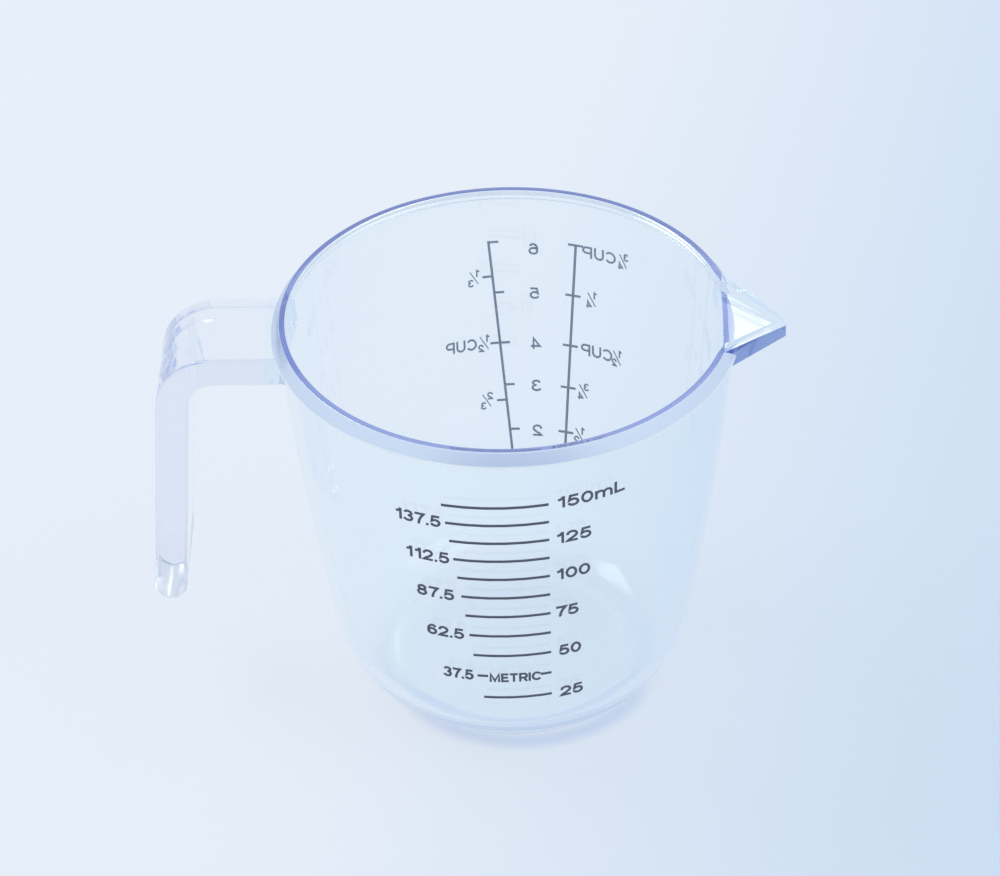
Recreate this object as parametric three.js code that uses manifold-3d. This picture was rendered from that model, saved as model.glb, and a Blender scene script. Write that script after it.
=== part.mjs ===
// A clear plastic measuring cup with a pouring lip, an open strap handle and two printed scales.
// Millimetres, +Z up. The origin is in the plane that the cup stands on, midway between the ends.
// The handle is towards -X, the pouring lip towards +X, the millilitre scale faces -Y.
// Every piece is drawn about the axis of the cup, and the whole cup is then moved to the origin.
import * as THREE from 'three';
import { mergeVertices } from 'three/addons/utils/BufferGeometryUtils.js';
import Module from 'manifold-3d';

const wasm = await Module();
wasm.setup();

// Cup wall and rim
const cupHeight = 67.4;
const lipOuterRadius = 36.5;
const lipHeight = 2.4;
const lipOverhang = 1;
const lipBevelWidth = 1.2;
const lipBevelDrop = 1.75;
const lipDraft = 0.1;
const wallThickness = 1.6;
const wallLean = THREE.MathUtils.degToRad(4.28);
const wallCurveRadius = 537;

// Rounded bottom, foot ring and floor
const bottomRound = 17.9;
const footOuterRadius = 21;
const footInnerRadius = 17.9;
const footRecess = 0.8;
const floorThickness = 1.8;
const floorEdgeRound = 9;

// Pouring lip
const spoutReach = 43.4;
const spoutHalfAngle = THREE.MathUtils.degToRad(45);
const spoutTipWidth = 1.4;
const spoutWall = 1.5;
const spoutCreaseInset = 0.2;
const spoutEdgeFall = 2.1;
const spoutFloorDrop = 1.85;
const spoutFloorFall = 0.5;
const spoutRootDepth = 3.5;
const spoutUnderFall = 0.6;

// Strap handle
const handleWidth = 16.9;
const handleThickness = 5;
const handleEdgeRound = 0.6;
const handleReach = 56.9;
const handleTopDrop = 2.2;
const handleLegDrop = 47.25;
const handleOuterBend = 9.5;
const handleLegLean = THREE.MathUtils.degToRad(3.8);
const handleRootStand = 0.6;

// Both prints
const printTurn = THREE.MathUtils.degToRad(1.8);
const inkThickness = 0.12;

// Printed millilitre scale
const topLineDepth = 10.75;
const lineCount = 11;
const stepsBelowLowestLine = 2;
const millilitreStep = 12.5;
const lineHeight = 0.46;
const lineRightEnd = 5.6;
const lineLeftEndTop = -10.8;
const lineLeftEndBottom = -5.5;
const lowestLineShortening = 0.4;
const splitLineNumber = 1;
const splitDashLength = 1.7;
const metricPrintSkew = THREE.MathUtils.degToRad(1.6);

// Printed ounce and cup scale, as depths below the rim
const sixOunceDepth = 10.1;
const thirdCupDepth = 16.45;
const fiveOunceDepth = 19.5;
const fourOunceDepth = 28.9;
const threeOunceDepth = 36.75;
const twoThirdsCupDepth = 39.6;
const twoOunceDepth = 45.1;
const uprightBottomDepth = 50.4;
const uprightWidth = 0.42;
const tickHeight = 0.38;
const sideTickReach = 1.65;
const crossTickReach = 1.25;
const leftUprightTop = -12;
const leftUprightBottom = -9.5;
const rightUprightTop = 2.4;
const rightUprightBottom = -0.8;
const ouncePrintSkew = THREE.MathUtils.degToRad(-1.2);

// Fineness of the round shapes
const turnSteps = 72;
const wallSteps = 6;
const bottomSteps = 6;
const edgeSteps = 3;
const bendSteps = 8;
const cutMargin = 5;

// Wall shape: the radius falls with depth on one long shallow curve, then on the round of the bottom
const lipBottomZ = cupHeight - lipHeight;
const wallTopRadius = lipOuterRadius - lipOverhang;
const floorZ = footRecess + floorThickness;

function wallSlope(z) {
  return Math.tan(wallLean) + (lipBottomZ - z) / wallCurveRadius;
}

function wallRadius(z) {
  const depth = lipBottomZ - z;
  return wallTopRadius - Math.tan(wallLean) * depth - depth * depth / (2 * wallCurveRadius);
}

function innerWallRadius(z) {
  return wallRadius(z) - wallThickness * Math.hypot(1, wallSlope(z));
}

function roundCentre(contactZ) {
  const lean = Math.atan(wallSlope(contactZ));
  const r = wallRadius(contactZ) - bottomRound * Math.cos(lean);
  const z = contactZ + bottomRound * Math.sin(lean);
  return { r, z, lean };
}

// The round of the bottom touches the wall and ends on the outer edge of the foot
function solveRoundContact() {
  let low = 0;
  let high = lipBottomZ;
  for (let i = 0; i < 60; i += 1) {
    const middle = (low + high) / 2;
    const centre = roundCentre(middle);
    const reach = Math.hypot(footOuterRadius - centre.r, centre.z);
    if (reach > bottomRound) high = middle;
    else low = middle;
  }
  return (low + high) / 2;
}

const contactZ = solveRoundContact();
const centre = roundCentre(contactZ);
const innerRound = bottomRound - wallThickness;
const innerContactZ = centre.z - innerRound * Math.sin(centre.lean);

// A smaller round leads from the flat floor up into the inside of that round
const floorEdgeZ = floorZ + floorEdgeRound;
const floorEdgeRise = floorEdgeZ - centre.z;
const floorEdgeRun = Math.sqrt((innerRound - floorEdgeRound) ** 2 - floorEdgeRise ** 2);
const floorEdgeR = centre.r + floorEdgeRun;
const joinAngle = Math.atan2(floorEdgeRise, floorEdgeRun);
const joinZ = centre.z + innerRound * Math.sin(joinAngle);

function innerRadius(z) {
  if (z > innerContactZ) return innerWallRadius(z);
  if (z > joinZ) return centre.r + Math.sqrt(innerRound ** 2 - (centre.z - z) ** 2);
  return floorEdgeR + Math.sqrt(Math.max(floorEdgeRound ** 2 - (floorEdgeZ - z) ** 2, 0));
}

function arcPoints(r, z, radius, from, to, steps) {
  const points = [];
  for (let i = 0; i <= steps; i += 1) {
    const angle = from + (to - from) * i / steps;
    points.push(new THREE.Vector2(r + radius * Math.cos(angle), z + radius * Math.sin(angle)));
  }
  return points;
}

function wallPoints(radiusAt, fromZ, toZ) {
  const points = [];
  for (let i = 1; i <= wallSteps; i += 1) {
    const z = fromZ + (toZ - fromZ) * i / wallSteps;
    points.push(new THREE.Vector2(radiusAt(z), z));
  }
  return points;
}

// Outer and inner outlines, from the axis out and up
const footAngle = Math.atan2(-centre.z, footOuterRadius - centre.r);
const lipTopRadius = lipOuterRadius - lipDraft;
const wallOutline = [
  ...arcPoints(centre.r, centre.z, bottomRound, footAngle, -centre.lean, bottomSteps),
  ...wallPoints(wallRadius, contactZ, lipBottomZ),
];
const outerOutline = [
  new THREE.Vector2(0, footRecess),
  new THREE.Vector2(footInnerRadius, footRecess),
  new THREE.Vector2(footInnerRadius, 0),
  ...wallOutline,
  new THREE.Vector2(lipOuterRadius, lipBottomZ),
  new THREE.Vector2(lipTopRadius, cupHeight - lipBevelDrop),
  new THREE.Vector2(lipTopRadius - lipBevelWidth, cupHeight),
  new THREE.Vector2(0, cupHeight),
];
const innerOutline = [
  new THREE.Vector2(0, floorZ),
  ...arcPoints(floorEdgeR, floorEdgeZ, floorEdgeRound, -Math.PI / 2, joinAngle, bottomSteps),
  ...arcPoints(centre.r, centre.z, innerRound, joinAngle, -centre.lean, edgeSteps).slice(1),
  ...wallPoints(innerWallRadius, innerContactZ, cupHeight),
  new THREE.Vector2(innerWallRadius(cupHeight), cupHeight + cutMargin),
  new THREE.Vector2(0, cupHeight + cutMargin),
];

// Solids for cutting and joining
function solidOf(geometry) {
  const bare = geometry.index ? geometry.toNonIndexed() : geometry.clone();
  bare.deleteAttribute('normal');
  bare.deleteAttribute('uv');
  const merged = mergeVertices(bare, 1e-4);
  const vertProperties = new Float32Array(merged.attributes.position.array);
  const triVerts = new Uint32Array(merged.index.array);
  return new wasm.Manifold(new wasm.Mesh({ numProp: 3, vertProperties, triVerts }));
}

function geometryOf(solid) {
  const mesh = solid.getMesh();
  const geometry = new THREE.BufferGeometry();
  const positions = new Float32Array(mesh.vertProperties);
  geometry.setAttribute('position', new THREE.BufferAttribute(positions, 3));
  geometry.setIndex(new THREE.BufferAttribute(new Uint32Array(mesh.triVerts), 1));
  geometry.computeVertexNormals();
  return geometry;
}

function boxSolid(x0, x1, y0, y1, z0, z1) {
  const box = new THREE.BoxGeometry(x1 - x0, y1 - y0, z1 - z0);
  box.translate((x0 + x1) / 2, (y0 + y1) / 2, (z0 + z1) / 2);
  return solidOf(box);
}

// An outline turned about the axis of the cup
function revolved(outline) {
  const lathe = new THREE.LatheGeometry(outline, turnSteps);
  lathe.rotateX(Math.PI / 2);
  return solidOf(lathe);
}

// An outline drawn in X and Z, given a width along Y
function acrossY(shape, width) {
  const geometry = new THREE.ExtrudeGeometry(shape, { depth: width, bevelEnabled: false });
  geometry.rotateX(Math.PI / 2);
  geometry.translate(0, width / 2, 0);
  return solidOf(geometry);
}

function upward(shape, z0, z1) {
  const geometry = new THREE.ExtrudeGeometry(shape, { depth: z1 - z0, bevelEnabled: false });
  geometry.translate(0, 0, z0);
  return solidOf(geometry);
}

function polygon(corners) {
  return new THREE.Shape(corners.map(([x, y]) => new THREE.Vector2(x, y)));
}

// Pouring lip: a blunt triangle in plan, with a sloping floor between two thin side walls
const spoutRootX = innerWallRadius(cupHeight) - cutMargin;
const spoutCreaseX = innerWallRadius(cupHeight) - spoutCreaseInset;
const spoutRun = spoutReach - spoutCreaseX;
const spoutBottomZ = cupHeight - spoutRootDepth - spoutUnderFall;

function spoutHalfWidth(x) {
  return spoutTipWidth / 2 + (spoutReach - x) * Math.tan(spoutHalfAngle);
}

const troughApexX = spoutReach
  + (spoutTipWidth / 2 - spoutWall / Math.cos(spoutHalfAngle)) / Math.tan(spoutHalfAngle);

function makeSpout() {
  const rootHalf = spoutHalfWidth(spoutRootX);
  const plan = polygon([
    [spoutRootX, -rootHalf],
    [spoutReach, -spoutTipWidth / 2],
    [spoutReach, spoutTipWidth / 2],
    [spoutRootX, rootHalf],
  ]);
  const side = polygon([
    [spoutRootX, cupHeight],
    [spoutRootX, cupHeight - spoutRootDepth],
    [spoutCreaseX, cupHeight - spoutRootDepth],
    [spoutReach, spoutBottomZ],
    [spoutReach, cupHeight - spoutEdgeFall],
    [spoutCreaseX, cupHeight],
  ]);
  const block = upward(plan, spoutBottomZ - cutMargin, cupHeight + cutMargin);
  return block.intersect(acrossY(side, 2 * rootHalf + cutMargin));
}

function makeTrough() {
  const creaseHalf = (troughApexX - spoutCreaseX) * Math.tan(spoutHalfAngle);
  const plan = polygon([
    [spoutRootX, -creaseHalf],
    [spoutCreaseX, -creaseHalf],
    [troughApexX, 0],
    [spoutCreaseX, creaseHalf],
    [spoutRootX, creaseHalf],
  ]);
  const floorFallAtApex = spoutFloorFall * (troughApexX - spoutCreaseX) / spoutRun;
  const side = polygon([
    [spoutRootX, cupHeight + cutMargin],
    [spoutRootX, cupHeight - spoutFloorDrop],
    [spoutCreaseX, cupHeight - spoutFloorDrop],
    [troughApexX, cupHeight - spoutFloorDrop - floorFallAtApex],
    [troughApexX, cupHeight + cutMargin],
  ]);
  const block = upward(plan, spoutBottomZ, cupHeight + 2 * cutMargin);
  return block.intersect(acrossY(side, 2 * creaseHalf + cutMargin));
}

// Handle: a flat strap that runs out level, turns down and ends in a round
const handleTopZ = cupHeight - handleTopDrop;
const handleRootX = -(lipOuterRadius + handleRootStand);
const handleInnerBend = handleOuterBend - handleThickness;
const bendZ = handleTopZ - handleOuterBend;
const endRound = handleThickness / 2;
const middleBend = handleOuterBend - endRound;
const legLength = (bendZ + middleBend * Math.sin(handleLegLean)
  - (handleTopZ - handleLegDrop + endRound)) / Math.cos(handleLegLean);
const bendX = -handleReach + endRound
  + middleBend * Math.cos(handleLegLean) + legLength * Math.sin(handleLegLean);

function makeHandleStrap() {
  const outward = Math.PI - handleLegLean;
  const endX = bendX + middleBend * Math.cos(outward) - legLength * Math.sin(handleLegLean);
  const endZ = bendZ + middleBend * Math.sin(outward) - legLength * Math.cos(handleLegLean);
  const innerRootX = -(innerWallRadius(cupHeight) - cutMargin);
  const side = new THREE.Shape();
  side.moveTo(innerRootX, handleTopZ);
  side.lineTo(bendX, handleTopZ);
  side.absarc(bendX, bendZ, handleOuterBend, Math.PI / 2, outward, false);
  side.absarc(endX, endZ, endRound, outward, outward + Math.PI, false);
  side.absarc(bendX, bendZ, handleInnerBend, outward, Math.PI / 2, true);
  side.lineTo(innerRootX, handleTopZ - handleThickness);
  side.closePath();
  const geometry = new THREE.ExtrudeGeometry(side, {
    depth: handleWidth - 2 * handleEdgeRound,
    curveSegments: bendSteps,
    bevelEnabled: true,
    bevelThickness: handleEdgeRound,
    bevelSize: handleEdgeRound,
    bevelOffset: -handleEdgeRound,
    bevelSegments: edgeSteps,
  });
  geometry.rotateX(Math.PI / 2);
  geometry.translate(0, handleWidth / 2 - handleEdgeRound, 0);
  return solidOf(geometry);
}

const strap = makeHandleStrap();
const beyondRoot = boxSolid(-2 * handleReach, handleRootX, -handleWidth, handleWidth, 0, cupHeight);
const insideRoot = boxSolid(handleRootX, 0, -handleWidth, handleWidth, 0, cupHeight);

function makeCupBody() {
  const outside = revolved(outerOutline).add(makeSpout()).add(strap.intersect(insideRoot));
  return outside.subtract(revolved(innerOutline)).subtract(makeTrough());
}

// Ink is a thin skin on the outside of the wall, cut to the outline of each mark
const skinOutline = [
  ...wallOutline.map((p) => new THREE.Vector2(p.x + inkThickness, p.y)),
  ...wallOutline.toReversed(),
  new THREE.Vector2(wallOutline[0].x + inkThickness, wallOutline[0].y),
];
const inkSkin = revolved(skinOutline);

// A mark is drawn in X and Z as it is read from outside, then turned to its side of the cup
function prism(corners) {
  const geometry = new THREE.ExtrudeGeometry(polygon(corners), {
    depth: lipOuterRadius, bevelEnabled: false,
  });
  geometry.rotateX(Math.PI / 2);
  return solidOf(geometry);
}

function inkMark(prisms, turn) {
  const outline = prisms.reduce((all, one) => all.add(one));
  const degrees = THREE.MathUtils.radToDeg(turn);
  return geometryOf(inkSkin.intersect(outline.rotate([0, 0, degrees])));
}

function levelBar(z, left, right, height, skew) {
  const zLeft = z + left * Math.tan(skew);
  const zRight = z + right * Math.tan(skew);
  return prism([
    [left, zLeft - height / 2],
    [right, zRight - height / 2],
    [right, zRight + height / 2],
    [left, zLeft + height / 2],
  ]);
}

// The lines share out evenly the room inside the cup below the top line
function volumeBelow(z) {
  const slices = 200;
  const step = (z - floorZ) / slices;
  let volume = 0;
  for (let i = 0; i < slices; i += 1) {
    volume += Math.PI * innerRadius(floorZ + (i + 0.5) * step) ** 2 * step;
  }
  return volume;
}

const topLineZ = cupHeight - topLineDepth;
const fullVolume = volumeBelow(topLineZ);

function heightOfShare(share) {
  let low = floorZ;
  let high = cupHeight;
  for (let i = 0; i < 50; i += 1) {
    const middle = (low + high) / 2;
    if (volumeBelow(middle) < share * fullVolume) low = middle;
    else high = middle;
  }
  return (low + high) / 2;
}

// Sideways place of a point that lies some way round the wall from the middle of the print
function placeAlongWall(distance, z) {
  return wallRadius(z) * Math.sin(distance / wallRadius(z));
}

function metricLine(z, left, right) {
  const from = placeAlongWall(left, z);
  const to = placeAlongWall(right, z);
  return inkMark([levelBar(z, from, to, lineHeight, metricPrintSkew)], printTurn);
}

function lineLeftEnd(i) {
  if (i === 0) return lineLeftEndBottom + lowestLineShortening;
  return lineLeftEndBottom + (lineLeftEndTop - lineLeftEndBottom) * i / (lineCount - 1);
}

function metricLines() {
  const pieces = [];
  for (let i = 0; i < lineCount; i += 1) {
    const steps = stepsBelowLowestLine + i;
    const z = heightOfShare(steps / (stepsBelowLowestLine + lineCount - 1));
    const left = lineLeftEnd(i);
    const name = `line_${String(steps * millilitreStep).replace('.', '_')}_ml`;
    if (i === splitLineNumber) {
      pieces.push([`${name}_left_dash`, metricLine(z, left, left + splitDashLength)]);
      pieces.push([`${name}_right_dash`, metricLine(z, lineRightEnd - splitDashLength, lineRightEnd)]);
    } else {
      pieces.push([name, metricLine(z, left, lineRightEnd)]);
    }
  }
  return pieces;
}

// The ounce and cup scale: two leaning upright lines with ticks, like two combs
const ounceDepths = [sixOunceDepth, fiveOunceDepth, fourOunceDepth, threeOunceDepth, twoOunceDepth];
const cupThirdDepths = [thirdCupDepth, twoThirdsCupDepth];
const uprightTopZ = cupHeight - sixOunceDepth + tickHeight / 2;
const uprightBottomZ = cupHeight - uprightBottomDepth;

function comb(topX, bottomX, ticks) {
  const placeAt = (z) => bottomX + (topX - bottomX) * (z - uprightBottomZ) / (uprightTopZ - uprightBottomZ);
  const parts = [prism([
    [bottomX - uprightWidth / 2, uprightBottomZ],
    [bottomX + uprightWidth / 2, uprightBottomZ],
    [topX + uprightWidth / 2, uprightTopZ],
    [topX - uprightWidth / 2, uprightTopZ],
  ])];
  for (const [depth, toLeft, toRight] of ticks) {
    const z = cupHeight - depth;
    const x = placeAt(z);
    parts.push(levelBar(z, x - toLeft, x + toRight, tickHeight, ouncePrintSkew));
  }
  return inkMark(parts, Math.PI + printTurn);
}

function ounceScale() {
  const stub = uprightWidth / 2;
  const crossing = ounceDepths.map((depth) => [depth, crossTickReach, crossTickReach]);
  const inward = ounceDepths.map((depth) => [depth, sideTickReach, stub]);
  const outward = cupThirdDepths.map((depth) => [depth, stub, sideTickReach]);
  const halfCup = [[fourOunceDepth, stub, sideTickReach]];
  return [
    ['ounce_scale_left_comb', comb(leftUprightTop, leftUprightBottom, crossing)],
    ['ounce_scale_right_comb', comb(rightUprightTop, rightUprightBottom, [...inward, ...outward, ...halfCup])],
  ];
}

// Materials and the finished group
const clearPlastic = () => new THREE.MeshStandardMaterial({
  color: 0xd3dbee, roughness: 0.08, metalness: 0, transparent: true, opacity: 0.4,
});
const darkInk = () => new THREE.MeshStandardMaterial({ color: 0x2f2c2e, roughness: 0.55, metalness: 0 });

const group = new THREE.Group();
const cup = new THREE.Group();
cup.position.x = (handleReach - spoutReach) / 2;
group.add(cup);

function addPiece(name, geometry, material) {
  const mesh = new THREE.Mesh(geometry, material);
  mesh.name = name;
  cup.add(mesh);
}

addPiece('cup_body', geometryOf(makeCupBody()), clearPlastic());
addPiece('handle', geometryOf(strap.intersect(beyondRoot)), clearPlastic());
for (const [name, geometry] of metricLines()) addPiece(name, geometry, darkInk());
for (const [name, geometry] of ounceScale()) addPiece(name, geometry, darkInk());

export default group;
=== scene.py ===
"""A small clear plastic measuring cup with printed scales, on a pale blue-white floor.

Shapes are drawn in millimetres about the axis of the cup and are then moved into the model's frame.
"""

import math

import bmesh
import bpy
from mathutils import Matrix, Vector


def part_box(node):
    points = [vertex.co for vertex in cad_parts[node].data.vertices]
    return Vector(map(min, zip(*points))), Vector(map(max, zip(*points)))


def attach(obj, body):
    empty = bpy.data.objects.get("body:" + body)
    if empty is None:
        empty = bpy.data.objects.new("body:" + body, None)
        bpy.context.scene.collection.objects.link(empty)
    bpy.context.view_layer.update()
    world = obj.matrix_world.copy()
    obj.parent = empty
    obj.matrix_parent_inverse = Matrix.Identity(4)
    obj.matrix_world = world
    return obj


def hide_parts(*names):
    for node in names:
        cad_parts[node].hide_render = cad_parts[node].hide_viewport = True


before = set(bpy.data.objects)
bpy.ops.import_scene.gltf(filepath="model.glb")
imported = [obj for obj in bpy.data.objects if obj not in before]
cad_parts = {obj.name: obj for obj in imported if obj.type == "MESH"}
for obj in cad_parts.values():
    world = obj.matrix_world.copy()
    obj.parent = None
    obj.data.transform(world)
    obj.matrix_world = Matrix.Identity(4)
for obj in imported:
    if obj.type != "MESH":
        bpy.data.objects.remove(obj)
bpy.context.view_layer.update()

MM = 0.001
IMAGE_WIDTH, IMAGE_HEIGHT = 1000, 876

# Sizes of the moulding, in millimetres, as in the model
CUP_HEIGHT = 67.4
LIP_OUTER_R = 36.5
LIP_HEIGHT = 2.4
LIP_OVERHANG = 1.0
LIP_DRAFT = 0.1
LIP_BEVEL_WIDTH = 1.2
LIP_BEVEL_DROP = 1.75
WALL = 1.6
WALL_LEAN = math.radians(4.28)
WALL_CURVE_R = 537.0
BOTTOM_ROUND = 17.9
FOOT_OUTER_R = 21.0
FOOT_INNER_R = 17.9
FOOT_RECESS = 0.8
FLOOR_Z = 2.6
FLOOR_EDGE_ROUND = 9.0
SPOUT_REACH = 43.4
SPOUT_TIP_WIDTH = 1.4
SPOUT_WALL = 1.5
SPOUT_CREASE_INSET = 0.42
SPOUT_EDGE_FALL = 2.1
SPOUT_FLOOR_DROP = 1.85
SPOUT_FLOOR_FALL = 0.5
SPOUT_ROOT_DEPTH = 3.5
SPOUT_UNDER_FALL = 0.6
HANDLE_WIDTH = 16.9
HANDLE_THICKNESS = 5.0
HANDLE_EDGE_ROUND = 0.6
HANDLE_REACH = 56.9
HANDLE_TOP_DROP = 2.2
HANDLE_LEG_DROP = 47.25
HANDLE_OUTER_BEND = 9.5
HANDLE_LEG_LEAN = math.radians(3.8)
HANDLE_ROOT_STAND = 0.6
HANDLE_ROOT_GAP = 0.02
PRINT_TURN = math.radians(1.8)
METRIC_SKEW = math.radians(1.6)
OUNCE_SKEW = math.radians(-1.2)

AXIS_X = (HANDLE_REACH - SPOUT_REACH) / 2
LIP_BOTTOM_Z = CUP_HEIGHT - LIP_HEIGHT
WALL_TOP_R = LIP_OUTER_R - LIP_OVERHANG

# Small roundings and details that only the pictures show
LIP_EDGE = 0.3
LIP_ROOT_EDGE = 0.2
RIM_INNER_EDGE = 0.3
FOOT_EDGE = 2.0
FOOT_EASE = 9.0
FLAT_TOP_DEPTH = 2.2
FLAT_FADE_DEPTH = 7.0
FLAT_INSIDE_ENDS = 1.5
FLAT_PAST_ENDS = 2.5
SPOUT_CREASE_WIDTH = 0.8
SPOUT_TIP_ROUND = 0.75

# Fineness of the round shapes
TURN_STEPS = 288
WALL_STEPS = 48
BOTTOM_STEPS = 44
FLOOR_EDGE_STEPS = 24
INNER_ROUND_STEPS = 12
FOOT_STEPS = 14
LIP_ROOT_STEPS = 4
LIP_EDGE_STEPS = 5
EDGE_STEPS = 6
BEND_STEPS = 28
END_STEPS = 24
STRAP_EDGE_STEPS = 8
SOLVE_STEPS = 60
SHARP_ANGLE = math.radians(28)
MERGE_DISTANCE = 1e-4
ON_AXIS = 1e-9

# Points of the bottom round that the foot's outer edge takes away
FOOT_EDGE_POINTS = 4

# How far solids that cut or limit others reach past them, and the spout's fall on the way past its tip
CUT_MARGIN = 5.0
TROUGH_MARGIN = 1.0
TIP_MARGIN = 0.5
TIP_MARGIN_EDGE_FALL = 0.11
TIP_MARGIN_UNDER_FALL = 0.03


# Wall shape
def wall_slope(z):
    return math.tan(WALL_LEAN) + (LIP_BOTTOM_Z - z) / WALL_CURVE_R


def wall_radius(z):
    depth = LIP_BOTTOM_Z - z
    return WALL_TOP_R - math.tan(WALL_LEAN) * depth - depth * depth / (2 * WALL_CURVE_R)


def inner_wall_radius(z):
    return wall_radius(z) - WALL * math.hypot(1, wall_slope(z))


def round_centre(contact_z):
    lean = math.atan(wall_slope(contact_z))
    r = wall_radius(contact_z) - BOTTOM_ROUND * math.cos(lean)
    return r, contact_z + BOTTOM_ROUND * math.sin(lean), lean


def solve_round_contact():
    """Height at which the bottom round meets the wall, so that the round also meets the foot."""
    low, high = 0.0, LIP_BOTTOM_Z
    for _ in range(SOLVE_STEPS):
        middle = (low + high) / 2
        r, z, _lean = round_centre(middle)
        if math.hypot(FOOT_OUTER_R - r, z) > BOTTOM_ROUND:
            high = middle
        else:
            low = middle
    return (low + high) / 2


CONTACT_Z = solve_round_contact()
ROUND_R, ROUND_Z, ROUND_LEAN = round_centre(CONTACT_Z)
INNER_ROUND = BOTTOM_ROUND - WALL
INNER_CONTACT_Z = ROUND_Z - INNER_ROUND * math.sin(ROUND_LEAN)
FLOOR_EDGE_Z = FLOOR_Z + FLOOR_EDGE_ROUND
FLOOR_EDGE_RISE = FLOOR_EDGE_Z - ROUND_Z
FLOOR_EDGE_RUN = math.sqrt((INNER_ROUND - FLOOR_EDGE_ROUND) ** 2 - FLOOR_EDGE_RISE ** 2)
JOIN_ANGLE = math.atan2(FLOOR_EDGE_RISE, FLOOR_EDGE_RUN)


def outer_radius(z):
    """Outside radius of the wall and of the round below it."""
    if z >= CONTACT_Z:
        return wall_radius(z)
    return ROUND_R + math.sqrt(max(BOTTOM_ROUND ** 2 - (ROUND_Z - z) ** 2, 0))


# Outlines, as points
def arc(r, z, radius, start, end, steps):
    """Points on an arc in the plane through the axis, angles in radians."""
    points = []
    for i in range(steps + 1):
        angle = start + (end - start) * i / steps
        points.append((r + radius * math.cos(angle), z + radius * math.sin(angle)))
    return points


def eased(before, corner, after, radius):
    """Points that take a corner of an outline round an arc."""
    here = Vector(corner)
    back = (Vector(before) - here).normalized()
    ahead = (Vector(after) - here).normalized()
    half = math.acos(max(-1, min(1, back.dot(ahead)))) / 2
    middle = here + (back + ahead).normalized() * (radius / math.sin(half))
    start = here + back * (radius / math.tan(half)) - middle
    end = here + ahead * (radius / math.tan(half)) - middle
    points = []
    for k in range(EDGE_STEPS + 1):
        share = k / EDGE_STEPS
        ray = (start * (1 - share) + end * share).normalized() * radius
        points.append(tuple(middle + ray))
    return points


def rounded_polygon(corners, radius):
    points = []
    for i, corner in enumerate(corners):
        points += eased(corners[i - 1], corner, corners[(i + 1) % len(corners)], radius)
    return points


def wall_points(radius_at, z0, z1):
    levels = [z0 + (z1 - z0) * i / WALL_STEPS for i in range(1, WALL_STEPS + 1)]
    return [(radius_at(z), z) for z in levels]


# Mesh helpers
def new_object(name, verts, faces):
    mesh = bpy.data.meshes.new(name)
    mesh.from_pydata([Vector(v) for v in verts], [], faces)
    mesh.validate()
    mesh.update()
    piece = bpy.data.objects.new(name, mesh)
    bpy.context.scene.collection.objects.link(piece)
    return piece


def recalc(piece):
    bm = bmesh.new()
    bm.from_mesh(piece.data)
    bmesh.ops.recalc_face_normals(bm, faces=bm.faces)
    bm.to_mesh(piece.data)
    bm.free()


def lathe(name, outline):
    """A closed solid turned about Z from an outline that starts and ends on the axis."""
    verts, rings = [], []
    for r, z in outline:
        if r < ON_AXIS:
            rings.append([len(verts)])
            verts.append((0, 0, z))
            continue
        ring = []
        for k in range(TURN_STEPS):
            angle = 2 * math.pi * k / TURN_STEPS
            ring.append(len(verts))
            verts.append((r * math.cos(angle), r * math.sin(angle), z))
        rings.append(ring)
    faces = []
    for low, high in zip(rings, rings[1:]):
        for k in range(TURN_STEPS):
            n = (k + 1) % TURN_STEPS
            if len(low) == 1:
                faces.append((low[0], high[n], high[k]))
            elif len(high) == 1:
                faces.append((low[k], low[n], high[0]))
            else:
                faces.append((low[k], low[n], high[n], high[k]))
    piece = new_object(name, verts, faces)
    recalc(piece)
    return piece


def loft(name, loops):
    """A closed solid through loops that all have the same number of points."""
    verts = [v for loop in loops for v in loop]
    count = len(loops[0])
    faces = []
    for i in range(len(loops) - 1):
        for k in range(count):
            n = (k + 1) % count
            faces.append((i * count + k, i * count + n, (i + 1) * count + n, (i + 1) * count + k))
    faces.append(tuple(range(count)))
    faces.append(tuple(range((len(loops) - 1) * count, len(loops) * count)))
    piece = new_object(name, verts, faces)
    recalc(piece)
    return piece


def prism(name, plan, z0, z1):
    """A solid of one outline seen from above, between two heights."""
    return loft(name, [[(x, y, z) for x, y in plan] for z in (z0, z1)])


def prism_y(name, side, width):
    """A solid of one outline seen from the side, of an even width about the middle."""
    return loft(name, [[(x, y, z) for x, z in side] for y in (-width / 2, width / 2)])


def boolean(piece, other, operation):
    """Join to or cut from piece, exactly, and remove the other solid."""
    tool = piece.modifiers.new(operation, "BOOLEAN")
    tool.operation = operation
    tool.solver = "EXACT"
    tool.object = other
    graph = bpy.context.evaluated_depsgraph_get()
    mesh = bpy.data.meshes.new_from_object(piece.evaluated_get(graph))
    piece.modifiers.clear()
    piece.data = mesh
    bpy.data.objects.remove(other)
    return piece


def merge_points(piece):
    """Join points that the cuts left on top of each other, and drop faces without area."""
    bm = bmesh.new()
    bm.from_mesh(piece.data)
    bmesh.ops.remove_doubles(bm, verts=bm.verts, dist=MERGE_DISTANCE)
    bmesh.ops.dissolve_degenerate(bm, edges=bm.edges, dist=MERGE_DISTANCE)
    bmesh.ops.recalc_face_normals(bm, faces=bm.faces)
    bm.to_mesh(piece.data)
    bm.free()


def soften(piece):
    """Smooth shading, broken at edges that are sharper than SHARP_ANGLE."""
    bm = bmesh.new()
    bm.from_mesh(piece.data)
    for face in bm.faces:
        face.smooth = True
    for edge in bm.edges:
        if len(edge.link_faces) == 2:
            edge.smooth = edge.calc_face_angle(0.0) < SHARP_ANGLE
    bm.to_mesh(piece.data)
    bm.free()


def place(piece):
    """From millimetres about the cup's axis to metres in the model's frame."""
    for v in piece.data.vertices:
        v.co = Vector(((v.co.x + AXIS_X) * MM, v.co.y * MM, v.co.z * MM))
    piece.data.update()


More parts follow.
